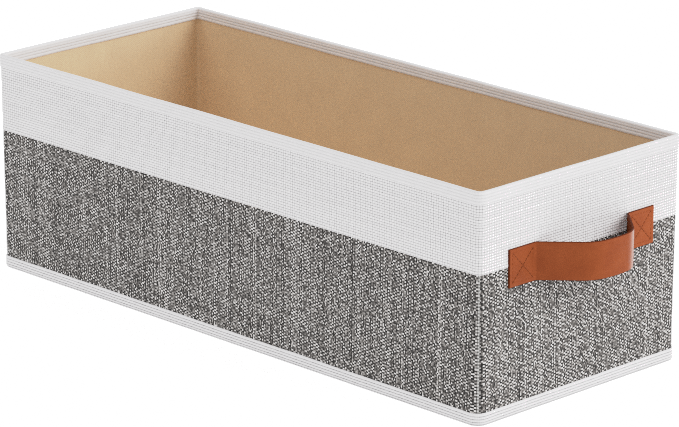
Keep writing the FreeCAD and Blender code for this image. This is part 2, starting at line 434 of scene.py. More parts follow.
def grey_fabric():
    k = Mat("grey_fabric")
    w = weave(k, 1.0375, 1.035, 0.10, 0.06, 5.0)
    u, v, ir, ic = w["u"], w["v"], w["ir"], w["ic"]
    # yarn-dyed melange: each yarn changes from black to grey to white along its length
    seg_r = k.noise(k.vec(k.mul(u, 0.42), k.mul(ir, 7.3), 1.5), 1.0, 2.0, 0.65)
    seg_c = k.noise(k.vec(k.mul(v, 0.30), k.mul(ic, 6.1), 8.5), 1.0, 2.0, 0.65)
    rr = k.white(k.vec(ir, 31.0))
    rc = k.white(k.vec(ic, 47.0))
    rc2 = k.white(k.vec(k.math("FLOOR", k.mul(ic, 0.5)), 71.0))
    # a slub that shows on one crossing is hidden on the next ones
    speck = k.white(k.vec(k.madd(ic, 1.7, 3.0), k.madd(ir, 2.3, 5.0)))
    past_c = k.white(k.vec(k.madd(ic, 1.7, 4.7), k.madd(ir, 2.3, 5.0)))
    past_r = k.white(k.vec(k.madd(ic, 1.7, 3.0), k.madd(ir, 2.3, 7.3)))
    speck = k.madd(k.add(past_c, past_r), -0.5, k.add(speck, 0.5))
    # the weft is the dark yarn and the warp the light one
    vr = k.madd(k.sub(seg_r, 0.5), 0.16, k.madd(rr, 0.20, 0.108))
    vc = k.madd(k.sub(seg_c, 0.5), 0.16, k.madd(rc, 0.08, k.madd(rc2, 0.02, 0.545)))
    # the weft passes over two warp ends at a time
    par = k.math("COMPARE", k.math("MODULO", k.add(k.add(ir, k.math("FLOOR", k.mul(ic, 0.5))), 800.0), 2.0), 0.0, 0.5)
    val = k.add(k.mul(par, vr), k.mul(k.sub(1.0, par), vc))
    val = k.madd(k.sub(speck, 0.5), 0.72, val)
    # the ends are wound in pairs, a lighter and a darker one
    pair = k.math("COMPARE", k.math("MODULO", k.add(ic, 800.0), 2.0), 0.0, 0.5)
    val = k.madd(k.sub(pair, 0.5), 0.19, val)
    # strong single warp ends, light and dark, run the whole height
    streak = k.madd(k.smooth(rc, 0.90, 0.95), 0.13, k.mul(k.smooth(rc, 0.10, 0.05), -0.10))
    val = k.add(val, streak)
    col = k.ramp(val, [(0.0, (0.006, 0.006, 0.006)), (0.22, (0.020, 0.018, 0.017)), (0.46, (0.126, 0.115, 0.108)),
                       (0.70, (0.425, 0.403, 0.386)), (0.95, (0.865, 0.836, 0.815))])
    weft = k.mul(w["wv"], k.madd(w["s"], 0.34, 0.62))
    warp = k.mul(w["wu"], k.madd(w["t"], -0.34, 0.62))
    h = k.math("SMOOTH_MAX", weft, warp, 0.1)
    fibre = k.noise(k.vec(k.mul(u, 3.0), k.mul(v, 3.0), 0.0), 1.0, 3.0, 0.7)
    h = k.madd(fibre, 0.16, h)
    # a painted highlight along each folded corner: a light line, with dark picks beside it
    edge, side = None, None
    for c in CORNERS_U:
        d = k.math("ABSOLUTE", k.sub(u, c))
        e = k.smooth(d, 0.32, 0.60, 1.0, 0.0)
        g = k.smooth(d, 1.7, 1.9, 1.0, 0.0)
        edge = e if edge is None else k.math("MAXIMUM", edge, e)
        side = g if side is None else k.math("MAXIMUM", side, g)
    two = k.math("COMPARE", k.math("MODULO", k.add(ir, 400.0), 2.0), 0.0, 0.5)
    col = k.mix(k.mul(side, k.madd(two, 0.45, 0.10)), col, (0.012, 0.012, 0.012))
    col = k.mix(k.mul(edge, k.madd(k.sub(1.0, two), 0.45, 0.30)), col, (0.72, 0.71, 0.69))
    cloud = k.noise(k.vec(k.mul(u, 0.03), k.mul(v, 0.05), 2.0), 1.0, 3.0)
    # painted shade where the yarns dip, times a slow random tone
    shade = k.mul(k.smooth(h, 0.08, 0.6, 0.45, 1.0), k.madd(cloud, 0.06, 0.915))
    col = k.tint(col, shade)
    n = k.bump(h, 0.00030, 0.9)
    return k.finish(col, 0.92, n, Sheen_Weight=0.12, Sheen_Roughness=0.5, Specular_IOR_Level=0.2)


def binding_tape(crown, foot_edge):
    k = Mat("binding_tape")
    u, v = k.cloth()
    wob = k.noise(k.vec(k.mul(u, 0.1), k.mul(v, 0.3), 2.0), 1.0, 2.0)
    cf = k.add(k.math("DIVIDE", u, 0.9), k.mul(wob, 0.7))
    tc = k.madd(k.math("FRACT", cf), 2.0, -1.0)
    yarn = k.sub(1.0, k.mul(tc, tc))
    rc = k.white(k.vec(k.math("FLOOR", cf), 3.0))
    slub = k.noise(k.vec(k.mul(u, 0.16), k.mul(v, 0.9), 5.0), 1.0, 3.0)
    fibre = k.noise(k.vec(k.mul(u, 2.4), k.mul(v, 4.0), 0.0), 1.0, 3.0, 0.7)
    h = k.madd(fibre, 0.35, k.mul(yarn, k.madd(rc, 0.25, 0.6)))
    # the ribs run along the tape and are real in the mesh; painted shade darkens the grooves between them
    groove = k.smooth(k.math("ABSOLUTE", k.math("SINE", k.mul(v, math.pi / RIB))), 0.78, 0.12)
    # painted light where it folds over the rim's top, which is lighter and has less groove shade; painted shade along
    # the foot's lower edge
    rim_top_light = k.smooth(k.math("ABSOLUTE", k.sub(v, crown)), 3.0, 1.7)
    foot_edge_shade = k.smooth(k.math("ABSOLUTE", k.sub(v, foot_edge)), 1.7, 0.7)
    groove = k.mul(groove, k.madd(rim_top_light, -0.85, 1.0))
    hem = k.smooth(k.math("ABSOLUTE", k.sub(v, 3.95)), 0.95, 0.55)
    groove = k.mul(groove, k.madd(hem, -0.9, 1.0))
    # the painted groove shade is weaker on the rim's tape than on the foot's, and a little stronger down the rim's
    # inner face
    weight = k.add(k.smooth(v, 80.0, 120.0, 0.98, 0.42), k.smooth(v, crown + 1.6, crown + 3.0, 0.0, 0.10))
    groove = k.mul(groove, weight)
    dash = k.noise(k.vec(k.mul(u, 0.33), k.mul(k.math("FLOOR", k.madd(v, 1.0 / RIB, 0.5)), 7.7), 3.0), 1.0, 2.0)
    # painted shade where the yarn surface dips and in the grooves; the foot's lower edge gets painted shade and the
    # rim's top painted light
    tone = k.mul(k.smooth(h, 0.0, 0.75, 0.86, 1.0), k.madd(slub, 0.14, 0.92))
    tone = k.mul(tone, k.sub(1.0, k.mul(groove, k.linear(dash, 0.3, 0.7, 0.52, 0.84))))
    tone = k.mul(tone, k.mul(k.madd(foot_edge_shade, -0.50, 1.0), k.madd(rim_top_light, 0.06, 1.0)))
    col = k.tint((0.894, 0.874, 0.888), tone)
    n = k.bump(h, 0.00016, 0.7)
    return k.finish(col, 0.88, n, Sheen_Weight=0.2, Sheen_Roughness=0.5, Specular_IOR_Level=0.2)


def nonwoven(name, base, spots=1.0):
    k = Mat(name)
    u, v = k.cloth()
    # thermally embossed dots on matted fibres
    a, b = k.math("DIVIDE", k.add(u, v), 1.5), k.math("DIVIDE", k.sub(u, v), 1.5)
    da = k.math("SINE", k.mul(a, math.pi))
    db = k.math("SINE", k.mul(b, math.pi))
    dot = k.smooth(k.math("ABSOLUTE", k.mul(da, db)), 0.25, 0.75)
    fib = k.noise(k.vec(k.mul(u, 1.1), k.mul(v, 1.1), 0.0), 1.0, 5.0, 0.7, distort=1.2)
    mott = k.noise(k.vec(k.mul(u, 0.05), k.mul(v, 0.05), 5.0), 1.0, 4.0)
    streak = k.noise(k.vec(k.mul(u, 0.5), k.mul(v, 0.05), 3.0), 1.0, 3.0)
    h = k.sub(k.mul(fib, 0.9), k.mul(dot, 0.35 * spots))
    tone = k.mul(k.madd(fib, 0.22, 0.89), k.mul(k.madd(mott, 0.16, 0.92), k.madd(streak, 0.08, 0.96)))
    tone = k.mul(tone, k.madd(dot, -0.07 * spots, 1.0))
    col = k.tint(base, tone)
    n = k.bump(h, 0.00012, 0.6)
    return k.finish(col, k.linear(dot, 0, 1, 0.82, 0.66), n, Sheen_Weight=0.1, Sheen_Roughness=0.5,
                    Specular_IOR_Level=0.3)


def leather():
    k = Mat("leather")
    u, v = k.cloth()
    p = k.vec(u, v, 0.0)
    warp = k.noise(p, 0.35, 2.0)
    pw = k.vec(k.madd(warp, 1.2, u), k.madd(warp, 1.2, v), 0.0)
    cells = k.voronoi(pw, 1.35, "DISTANCE_TO_EDGE")
    big = k.voronoi(pw, 0.55, "DISTANCE_TO_EDGE")
    grain = k.add(k.smooth(cells, 0.0, 0.22), k.mul(k.smooth(big, 0.0, 0.12), 0.5))
    pore = k.noise(p, 6.0, 3.0, 0.6)
    cloud = k.noise(p, 0.09, 4.0, 0.55)
    fine = k.noise(p, 0.9, 3.0, 0.6)
    col = k.ramp(cloud, [(0.25, (0.220, 0.050, 0.0150)), (0.5, (0.248, 0.059, 0.0179)), (0.75, (0.275, 0.0685, 0.0217))])
    col = k.tint(col, k.madd(fine, 0.10, 0.95))
    col = k.tint(col, k.linear(grain, 0.0, 1.5, 0.86, 1.0))
    col = k.tint(col, k.smooth(u, 34.0, 6.0, 1.0, 1.16))     # painted light: up to 16% lighter towards the strap's back end, the end the light falls on
    h = k.madd(pore, 0.12, grain)
    n = k.bump(h, 0.00005, 0.55)
    # the bend the hand pulls on is burnished
    bend = k.smooth(k.math("ABSOLUTE", k.sub(u, 54.5)), 13.0, 3.5)
    rough = k.sub(k.add(k.linear(cloud, 0.2, 0.8, 0.42, 0.52), k.mul(fine, 0.06)), k.mul(bend, 0.10))
    return k.finish(col, rough, n, Specular_IOR_Level=0.06, Coat_Weight=k.mul(bend, 0.85), Coat_Roughness=0.30, Coat_IOR=1.5)


def leather_back():
    k = Mat("leather_back")
    p = k.place()
    a = k.noise(p, 0.25, 4.0, 0.6)
    b = k.noise(p, 3.0, 3.0, 0.7)
    # a darker brown on the strap's wall-side face: partly its own colour, partly painted shade for the gap between
    # strap and wall
    col = k.ramp(a, [(0.3, (0.100, 0.021, 0.006)), (0.7, (0.145, 0.033, 0.010))])
    col = k.tint(col, k.madd(b, 0.4, 0.8))
    return k.finish(col, 0.85, k.bump(b, 0.00006, 0.6), Specular_IOR_Level=0.03)


def edge_paint():
    k = Mat("leather_edge")
    p = k.place()
    a = k.noise(p, 0.8, 3.0)
    b = k.noise(p, 5.0, 2.0)
    col = k.ramp(a, [(0.3, (0.080, 0.016, 0.005)), (0.7, (0.115, 0.024, 0.007))])
    n = k.bump(b, 0.00004, 0.5)
    return k.finish(col, k.linear(b, 0.2, 0.8, 0.60, 0.72), n, Specular_IOR_Level=0.05)


def thread(name, base, sheen=0.2, shine=0.35):
    k = Mat(name)
    u, v = k.cloth()
    ply = k.math("SINE", k.madd(u, 9.0, k.mul(v, 6.0)))
    fib = k.noise(k.vec(k.mul(u, 3.0), k.mul(v, 9.0), 1.0), 1.0, 3.0)
    tone = k.mul(k.madd(ply, 0.10, 0.90), k.madd(fib, 0.3, 0.85))
    n = k.bump(ply, 0.00005, 0.6)
    return k.finish(k.tint(base, tone), 0.6, n, Sheen_Weight=sheen, Sheen_Roughness=0.5, Specular_IOR_Level=shine)


def cardboard():
    k = Mat("pressed_board")
    p = k.place()
    fib = k.noise(p, 0.9, 5.0, 0.7, distort=1.5)
    fleck = k.smooth(k.noise(p, 2.2, 2.0), 0.66, 0.74)
    mott = k.noise(p, 0.04, 3.0)
    col = k.ramp(fib, [(0.25, (0.26, 0.19, 0.12)), (0.75, (0.40, 0.31, 0.21))])
    col = k.mix(k.mul(fleck, 0.5), col, (0.12, 0.09, 0.06))
    col = k.tint(col, k.madd(mott, 0.2, 0.9))
    return k.finish(col, 0.85, k.bump(fib, 0.0001, 0.5), Specular_IOR_Level=0.3)


M_WHITE = white_fabric()
M_GREY = grey_fabric()
M_LINING = nonwoven("lining", (0.72, 0.535, 0.345))
M_UNDER = nonwoven("underside_cloth", (0.40, 0.29, 0.19))
M_LEATHER = leather()
M_EDGE = edge_paint()
M_BACK = leather_back()
M_THREAD_W = thread("white_thread", (0.80, 0.79, 0.78))
M_THREAD_B = thread("brown_thread", (0.150, 0.036, 0.012), 0.0, 0.06)
M_THREAD_L = thread("tan_thread", (0.345, 0.088, 0.030), 0.0, 0.06)
M_BOARD = cardboard()

for n in ("front_wall_board", "back_wall_board", "left_wall_board", "right_wall_board", "base_board_core"):
    ob = frame["nodes"][n]
    for s in ob.material_slots:
        s.material = M_BOARD
    if not ob.material_slots:
        ob.data.materials.append(M_BOARD)

# ---------------------------------------------------------- outer fabric sleeves
wall = Waves(11, (90, 320), (90, 400), 10)         # the boards' own slow unevenness
wrink = Waves(12, (18, 60), (30, 120), 16)         # cloth over the boards
puck = Waves(13, (7, 16), (60, 200), 18)           # puckers along a seam


def side_relief(z):
    """How far the outer cloth stands off its plane at each height, rows by columns."""
    zz, uu = np.meshgrid(np.asarray(z, float), U, indexing="ij")
    out = 0.16 * wall(uu, zz) + 0.05 * wrink(uu, zz)
    seam = np.exp(-((zz - BAND_Z) / 7.0) ** 2)
    out += 0.07 * seam * puck(uu, zz)
    foot = np.exp(-np.abs(zz - FOOT_TAPE) / 6.0)
    out += 0.08 * foot * puck(uu, zz + 300)
    return out


def steps(a, b, step):
    n = max(1, int(round(abs(b - a) / step)))
    return list(np.linspace(a, b, n + 1))


# white upper band, its lower edge turned under and sewn over the grey panel
zs = steps(102.0, TOP - 0.9, 3.2)
prof = [(0.50, BAND_Z + 1.2), (0.44, BAND_Z + 0.35), (0.26, BAND_Z - 0.02), (0.06, BAND_Z - 0.02), (-0.10, BAND_Z + 0.18),
        (-0.17, BAND_Z + 0.6), (-0.19, BAND_Z + 1.2), (-0.14, BAND_Z + 2.0), (-0.05, BAND_Z + 3.0)]
prof += [(0.0, z) for z in zs]
prof += [(0.2, TOP - 0.6), (0.45, TOP - 0.8)] + [(0.5, z) for z in reversed(steps(BAND_Z + 4, TOP - 2, 9.0))]
D, Z = (np.array(x) for x in zip(*prof))
relief = side_relief(Z)
band = ring("upper_band_cloth", D, Z, [M_WHITE], dn=relief, v=Z)
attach(band, "shell"), band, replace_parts(band, "upper_band")

# grey middle panel, tucked in under the band's edge and under the foot tape
zs = steps(2.0, BAND_Z - 3.0, 3.0)
prof = [(0.5, 0.7), (0.3, 0.55), (0.05, 0.8)] + [(0.0, z) for z in zs]
prof += [(0.02, BAND_Z - 2.0), (0.08, BAND_Z - 1.2), (0.20, BAND_Z - 0.6), (0.34, BAND_Z - 0.1), (0.44, BAND_Z + 0.5), (0.50, BAND_Z + 0.9)]
prof += [(0.55, z) for z in reversed(steps(3.0, BAND_Z - 3.0, 9.0))]
D, Z = (np.array(x) for x in zip(*prof))
panel = ring("middle_panel_cloth", D, Z, [M_GREY], dn=side_relief(Z), v=Z)
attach(panel, "shell"), panel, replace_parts(panel, "middle_panel")

# ---------------------------------------------------------------- binding tapes


def rib(s, amp=0.13):
    """Height of the tape's ribs at a distance s across it."""
    return amp * np.abs(np.sin(np.pi * np.asarray(s, float) / RIB)) ** 0.8


# rim tape: up the outside, over the edge, down the inside, and back as its hidden face
IN_FACE = 2.72          # inset of the tape's visible face inside the bin
OUT_FACE = -0.42
z_turn = TOP - 1.25
out_z = np.arange(RIM_Z + 0.35, z_turn, RIB / 6)
n_top = 22
ang = np.linspace(0, np.pi, n_top)
mid, half_w = (IN_FACE + OUT_FACE) / 2, (IN_FACE - OUT_FACE) / 2
top_d = mid - half_w * np.cos(ang)
top_z = z_turn + 1.12 * np.sin(ang) ** 0.75
in_z = np.arange(z_turn, RIM_Z + 0.9, -RIB / 6)
prof_d = [0.02, -0.10, -0.32]
prof_z = [RIM_Z + 0.15, RIM_Z - 0.02, RIM_Z + 0.10]
norm_r = [0.0, 0.0, 0.3]
s0 = 0.0
for z in out_z:
    prof_d.append(OUT_FACE), prof_z.append(z), norm_r.append(1.0)
for d, z in zip(top_d[1:-1], top_z[1:-1]):
    prof_d.append(d), prof_z.append(z), norm_r.append(2.0)
for z in in_z:
    prof_d.append(IN_FACE), prof_z.append(z), norm_r.append(3.0)
# thicker lower hem inside, then the hidden face
for d, z in ((IN_FACE + 0.16, RIM_Z + 0.75), (IN_FACE + 0.10, RIM_Z + 0.35), (IN_FACE - 0.12, RIM_Z + 0.18), (IN_FACE - 0.36, RIM_Z + 0.5)):
    prof_d.append(d), prof_z.append(z), norm_r.append(0.0)
for z in steps(RIM_Z + 2.0, TOP - 1.9, 1.5):
    prof_d.append(2.36), prof_z.append(z), norm_r.append(0.0)
for d, z in ((2.1, TOP - 0.62), (1.2, TOP - 0.5), (0.4, TOP - 0.62)):
    prof_d.append(d), prof_z.append(z), norm_r.append(0.0)
for z in reversed(steps(RIM_Z + 1.2, TOP - 1.9, 1.5)):
    prof_d.append(0.04), prof_z.append(z), norm_r.append(0.0)
D, Z, K = np.array(prof_d), np.array(prof_z), np.array(norm_r)
s = along(D, Z)[:-1]
zz, uu = np.meshgrid(Z, U, indexing="ij")
kk = np.repeat(K[:, None], len(U), 1)
ss = np.repeat(s[:, None], len(U), 1)
wob = Waves(21, (25, 90), (200, 400), 12)
wave = Waves(22, (60, 260), (300, 600), 10)
pinch = Waves(23, (4.5, 9), (30, 60), 16)
bunch = near_corner(U, 6.0)[None, :]
on_face = [k for k in range(3, 3 + len(out_z))]
v_rim = s - np.interp(146.15, Z[on_face], s[on_face]) + 108 * RIB
v_crown = float(v_rim[3 + len(out_z) + n_top // 2])
M_TAPE = binding_tape(v_crown, -4.1)
ribs = rib(v_rim, 0.18)[:, None] + 0 * ss
dn = np.where(kk == 1, ribs, np.where(kk == 3, -ribs, 0.0)) + np.where(kk == 0.3, 0.04, 0.0)
dz = np.where(kk == 2, ribs, 0.0)
out_side = D[:, None] < mid
dn = dn + side_relief(Z) * np.clip((zz - (RIM_Z - 4)) / 3, 0, 1)
dn = dn + np.where(out_side, 1, -1) * (0.05 * wob(uu, zz) + bunch * (0.14 + 0.10 * pinch(uu, zz)))
dz = dz + np.clip((zz - RIM_Z) / 6, 0, 1) * (0.10 * wave(uu, 0) + 0.10 * bunch + 0.32) - 0.12
dz = dz + np.where(zz < RIM_Z + 1.2, 0.10 * wob(uu, 5.0), 0.0)
rim = ring("rim_tape", D, Z, [M_TAPE], dn=dn, dz=dz, v=v_rim)
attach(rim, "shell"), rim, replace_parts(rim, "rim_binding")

# foot tape: hidden face down, turned under the foot, round the edge and up the outside
TURN = HX - und_hi[0]
prof = []
for z in reversed(steps(1.2, FOOT_TAPE - 0.5, 1.6)):
    prof.append((0.04, z, 0.0))
prof += [(0.5, 0.62, 0.0)] + [(d, 0.5, 0.0) for d in steps(2.0, TURN - 0.4, 1.6)]
prof += [(TURN + 0.1, 0.36, 0.0), (TURN + 0.05, 0.12, 0.0)]
for d in reversed(list(np.arange(1.2, TURN - 0.3, RIB / 6))):
    prof.append((d, 0.04, 2.0))
for a in np.linspace(0, np.pi / 2, 9)[:-1]:
    prof.append((OUT_FACE + 1.5 - 1.5 * math.sin(a), 0.03 + 1.45 * (1 - math.cos(a)), 1.5 if a > 0.2 else 2.0))
for z in np.arange(1.6, FOOT_TAPE - 0.20, RIB / 6):
    prof.append((OUT_FACE, z, 1.0))
prof += [(OUT_FACE + 0.04, FOOT_TAPE - 0.06, 0.3), (OUT_FACE + 0.18, FOOT_TAPE + 0.10, 0.0), (-0.08, FOOT_TAPE + 0.10, 0.0)]
D, Z, K = (np.array(x) for x in zip(*prof))
s = along(D, Z)[:-1]
zz, uu = np.meshgrid(Z, U, indexing="ij")
kk = np.repeat(K[:, None], len(U), 1)
ss = np.repeat(s[:, None], len(U), 1)
up_face = [k for k in range(len(Z)) if K[k] == 1.0]
v_foot = s - np.interp(4.35, Z[up_face], s[up_face])
ribs = rib(v_foot, 0.18)[:, None] + 0 * ss
dn = np.where((kk == 1) | (kk == 1.5), ribs, 0.0)
dz = np.where(kk == 2, 0.10 - 0.8 * ribs * 0.6, 0.0)
dn = dn + side_relief(Z) * np.clip(zz / 3, 0, 1) * (D[:, None] < 1) + 0.06 * wob(uu, zz) * (D[:, None] < 1)
dn = dn + bunch * (0.12 + 0.08 * pinch(uu, zz)) * (D[:, None] < 0.02)
dz = dz + np.where(zz > FOOT_TAPE - 1.2, 0.12 * wob(uu, 2.0), 0.0)
foot = ring("foot_tape", D, Z, [M_TAPE], dn=dn, dz=dz, v=v_foot)
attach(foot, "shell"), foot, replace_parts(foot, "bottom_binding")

# ------------------------------------------------------------------------ lining
lin_w = Waves(31, (40, 150), (60, 220), 14)
lin_f = Waves(32, (12, 40), (120, 400), 16)
zs = steps(flo_hi[2] + 0.2, TOP - 1.4, 3.5)
prof = [(2.02, z) for z in zs[::-1]]
prof = [(2.05, z) for z in zs] + [(2.15, TOP - 1.2)] + [(2.32, z) for z in reversed(zs)]
prof = [(d, z) for d, z in prof]
D, Z = (np.array(x) for x in zip(*prof))
zz, uu = np.meshgrid(Z, U, indexing="ij")
inner = (D > 2.2)[:, None]
soft = np.clip((RIM_Z - 0.5 - zz) / 14.0, 0, 1)
push = -(0.22 + 0.16 * lin_w(uu, zz) + 0.05 * lin_f(uu, zz) + 0.20 * near_corner(U, 14.0)[None, :] * (0.5 + 0.5 * lin_f(uu, zz + 60)))
dn = np.where(inner, np.minimum(push, -0.02) * soft, 0.0)
lining = ring("wall_lining_cloth", D, Z, [M_LINING], dn=dn, v=Z)
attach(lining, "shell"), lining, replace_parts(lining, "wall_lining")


# ------------------------------------------------------- flat cloths and the board
def plate(name, hx, hy, r, prof, mats, sag=None):
    """A flat piece with rounded corners from (inset, height) pairs, closed along its middle line."""
    D = np.array([p[0] for p in prof], float)
    Z = np.array([p[1] for p in prof], float)
    rows = []
    for d, z in zip(D, Z):
        rr = max(min(r - d, hy - d) if d < r else 0.0, 0.0)
        rr = max(rr, 0.25) if d < hy - 0.3 else 0.0
        x = CX * (hx - d - rr) + rr * NX_
        y = CY * (hy - d - rr) + rr * NY_
        zz = np.full_like(x, z)
        if sag is not None:
            zz = zz + sag(x, y, d, z)
        rows.append(np.stack([x, y, zz], 1))
    P = np.stack(rows)
    m, n = P.shape[:2]
    J, I = np.meshgrid(np.arange(m - 1), np.arange(n), indexing="ij")
    J, I = J.ravel(), I.ravel()
    I1 = (I + 1) % n
    quads = np.stack([J * n + I, J * n + I1, (J + 1) * n + I1, (J + 1) * n + I], 1)
    me = bpy.data.meshes.new(name)
    me.from_pydata((P.reshape(-1, 3) * MM).tolist(), [], quads.tolist())
    import bmesh
    bm = bmesh.new()
    bm.from_mesh(me)
    # zip the first and the last row along the middle line
    bmesh.ops.remove_doubles(bm, verts=list(bm.verts), dist=0.02 * MM)
    bmesh.ops.dissolve_degenerate(bm, edges=list(bm.edges), dist=0.005 * MM)
    bmesh.ops.recalc_face_normals(bm, faces=list(bm.faces))
    bm.to_mesh(me)
    bm.free()
    co = np.zeros(len(me.vertices) * 3)
    me.vertices.foreach_get("co", co)
    co = co.reshape(-1, 3) * 1000
    li = np.zeros(len(me.loops), np.int32)
    me.loops.foreach_get("vertex_index", li)
    layer = me.uv_layers.new(name="cloth")
    layer.data.foreach_set("uv", co[li][:, :2].astype(np.float32).ravel())
    for mat in mats:
        me.materials.append(mat)
    me.polygons.foreach_set("use_smooth", np.ones(len(me.polygons), bool))
    me.update()
    me.calc_loop_triangles()
    return link(name, me)


def inward(a, b, step):
    return steps(a, b, step)


flat_w = Waves(41, (60, 200), (60, 200), 12)
flat_f = Waves(42, (14, 50), (14, 50), 18)


def soft_flat(amp, fine, up=True):
    def f(x, y, d, z):
        edge = np.clip(d / 12.0, 0, 1)
        w = amp * flat_w(x + 400, y) + fine * flat_f(x + 400, y)
        return edge * (np.abs(w) if up else w)
    return f


fhx, fhy, fr = flo_hi[0], flo_hi[1], 3.0
prof = [(d, flo_lo[2] + 0.02) for d in inward(fhy, 1.0, 11)] + [(0.1, flo_lo[2] + 0.06), (0.1, flo_hi[2] - 0.06)] + \
       [(d, flo_hi[2] - 0.02) for d in inward(1.0, fhy, 11)]
floor_cloth = plate("floor_lining_cloth", fhx, fhy, fr, prof, [M_LINING])
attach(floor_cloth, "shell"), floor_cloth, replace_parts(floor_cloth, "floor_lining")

uhx, uhy = und_hi[0] + 0.15, und_hi[1] + 0.15
base_under = soft_flat(0.05, 0.03)
prof = [(d, 0.12) for d in inward(uhy, 1.0, 9)] + [(0.0, 0.2), (0.0, 0.42)] + [(d, 0.47) for d in inward(1.0, uhy, 9)]
under = plate("underside_cloth_sheet", uhx, uhy, 2.0, prof, [M_UNDER],
              sag=lambda x, y, d, z: base_under(x, y, d, z) * (1.0 if z < 0.3 else 0.0))
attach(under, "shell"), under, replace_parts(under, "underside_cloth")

# base board: two trays of lining cloth round the board, meeting at a sewn edge
bhx, bhy, br = cvt_hi[0], cvt_hi[1], 3.2
zt, zm, zb = cvt_hi[2], cvt_lo[2], cvu_lo[2]
t_out = [(d, zt) for d in inward(bhy, 6.0, 7)] + [(4.0, zt - 0.01), (2.6, zt - 0.05), (1.6, zt - 0.14), (0.9, zt - 0.32), (0.4, zt - 0.62),
                                                   (0.12, zt - 1.0), (0.0, zm + 0.35), (-0.25, zm + 0.14), (-0.30, zm + 0.03)]
t_in = [(0.02, zm + 0.02), (0.28, zm + 0.5), (0.29, zt - 0.75), (0.45, zt - 0.42), (0.9, zt - 0.30)] + [(d, zt - 0.27) for d in inward(2.0, bhy, 9)]


def top_sag(x, y, d, z):
    edge = np.clip((d - 0.5) / 8.0, 0, 1)
    return edge * (0.18 * flat_w(x, y) + 0.05 * flat_f(x, y) + 0.12) * (1.0 if z > zt - 0.2 else 0.0) * 0.8


cover = plate("base_board_cover_top_cloth", bhx, bhy, br, t_out + t_in, [M_LINING], sag=top_sag)
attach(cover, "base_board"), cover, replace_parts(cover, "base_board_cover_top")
b_out = [(d, zb) for d in inward(bhy, 3.0, 9)] + [(1.6, zb + 0.06), (0.8, zb + 0.25), (0.3, zb + 0.6), (0.0, zm - 0.35), (-0.25, zm - 0.14), (-0.30, zm - 0.03)]
b_in = [(0.02, zm - 0.02), (0.28, zm - 0.5), (0.29, zb + 0.75), (0.45, zb + 0.42), (0.9, zb + 0.30)] + [(d, zb + 0.27) for d in inward(2.0, bhy, 9)]
cover_u = plate("base_board_cover_under_cloth", bhx, bhy, br, b_out + b_in, [M_LINING])
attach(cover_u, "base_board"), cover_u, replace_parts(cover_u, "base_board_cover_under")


# ------------------------------------------------------------------------ stitches
def stitches(name, centres, dirs, normals, lengths, radius, mat, squash=1.0):
    """Short spun threads, each bedded into the cloth at both ends, as one piece."""
    n_side, n_st = 6, 5
    verts, faces, uvs = [], [], []
    ts = np.linspace(-1, 1, n_st)
    for k, (c, d, nn, ln) in enumerate(zip(centres, dirs, normals, lengths)):
        c, d, nn = np.array(c), np.array(d), np.array(nn)
        b = np.cross(d, nn)
        base = len(verts)
        verts.append(c - d * ln / 2 - nn * radius * 1.1)
        for t in ts:
            rr = radius * (0.55 + 0.45 * math.sqrt(max(0.0, 1 - (t * 0.98) ** 2)))
            cc = c + d * (t * ln * 0.46) - nn * radius * 0.9 * t * t
            for q in range(n_side):
                a = 2 * math.pi * q / n_side
                verts.append(cc + b * rr * math.cos(a) + nn * rr * squash * math.sin(a))
        verts.append(c + d * ln / 2 - nn * radius * 1.1)
        end = base + 1 + n_st * n_side
        for q in range(n_side):
            q1 = (q + 1) % n_side
            faces.append((base, base + 1 + q1, base + 1 + q))
            uvs += [(k * 7.0, 0), (k * 7.0, q1), (k * 7.0, q)]
            for r in range(n_st - 1):
                o0, o1 = base + 1 + r * n_side, base + 1 + (r + 1) * n_side
                faces.append((o0 + q, o0 + q1, o1 + q1, o1 + q))
                uvs += [(k * 7.0 + r, q), (k * 7.0 + r, q + 1), (k * 7.0 + r + 1, q + 1), (k * 7.0 + r + 1, q)]
            o = base + 1 + (n_st - 1) * n_side
            faces.append((end, o + q, o + q1))
            uvs += [(k * 7.0 + 5, 0), (k * 7.0 + 5, q), (k * 7.0 + 5, q1)]
    me = bpy.data.meshes.new(name)
    me.from_pydata((np.array(verts) * MM).tolist(), [], faces)
    layer = me.uv_layers.new(name="cloth")
    layer.data.foreach_set("uv", np.array(uvs, np.float32).ravel() * 0.3)
    me.materials.append(mat)
    me.polygons.foreach_set("use_smooth", np.ones(len(me.polygons), bool))
    me.update()
    me.calc_loop_triangles()
    P = np.array(verts)
    tri = np.zeros(len(me.loop_triangles) * 3, np.int32)
    me.loop_triangles.foreach_get("vertices", tri)
    tri = tri.reshape(-1, 3)
    if (P[tri[:, 0]] * np.cross(P[tri[:, 1]], P[tri[:, 2]])).sum() < 0:
        me.flip_normals()
    return link(name, me)


def tape_row(z, d, sign, pitch, length, seed, relief_row=None):
    """Stitch centres, directions and normals round the bin at one height."""
    P = ring_points([d], [z], dn=relief_row if relief_row is not None else 0.0)[0][:, :2]
    closed = np.vstack([P, P[:1]])
    seg = np.hypot(*np.diff(closed, axis=0).T)
    s = np.concatenate([[0], np.cumsum(seg)])
    n = int(s[-1] / pitch)
    rng = np.random.default_rng(seed)
    cs, ds, ns = [], [], []
    for k in range(n):
        at = (k + 0.5) * s[-1] / n + rng.normal(0, 0.05)
        at = at % s[-1]
        j = min(np.searchsorted(s, at, side="right") - 1, len(seg) - 1)
        t = (at - s[j]) / seg[j]
        p = closed[j] * (1 - t) + closed[j + 1] * t
        dd = (closed[j + 1] - closed[j]) / seg[j]
        slant = 0.03 + rng.normal(0, 0.02)
        d3 = np.array([dd[0], dd[1], slant])
        d3 /= np.linalg.norm(d3)
        n3 = np.array([dd[1], -dd[0], 0.0]) * sign
        n3 /= np.linalg.norm(n3)
        cs.append([p[0], p[1], z + rng.normal(0, 0.03)]), ds.append(d3), ns.append(n3)
    return cs, ds, ns, [length] * n


def valley(zref):
    """Gives back the height it is given."""
    return zref


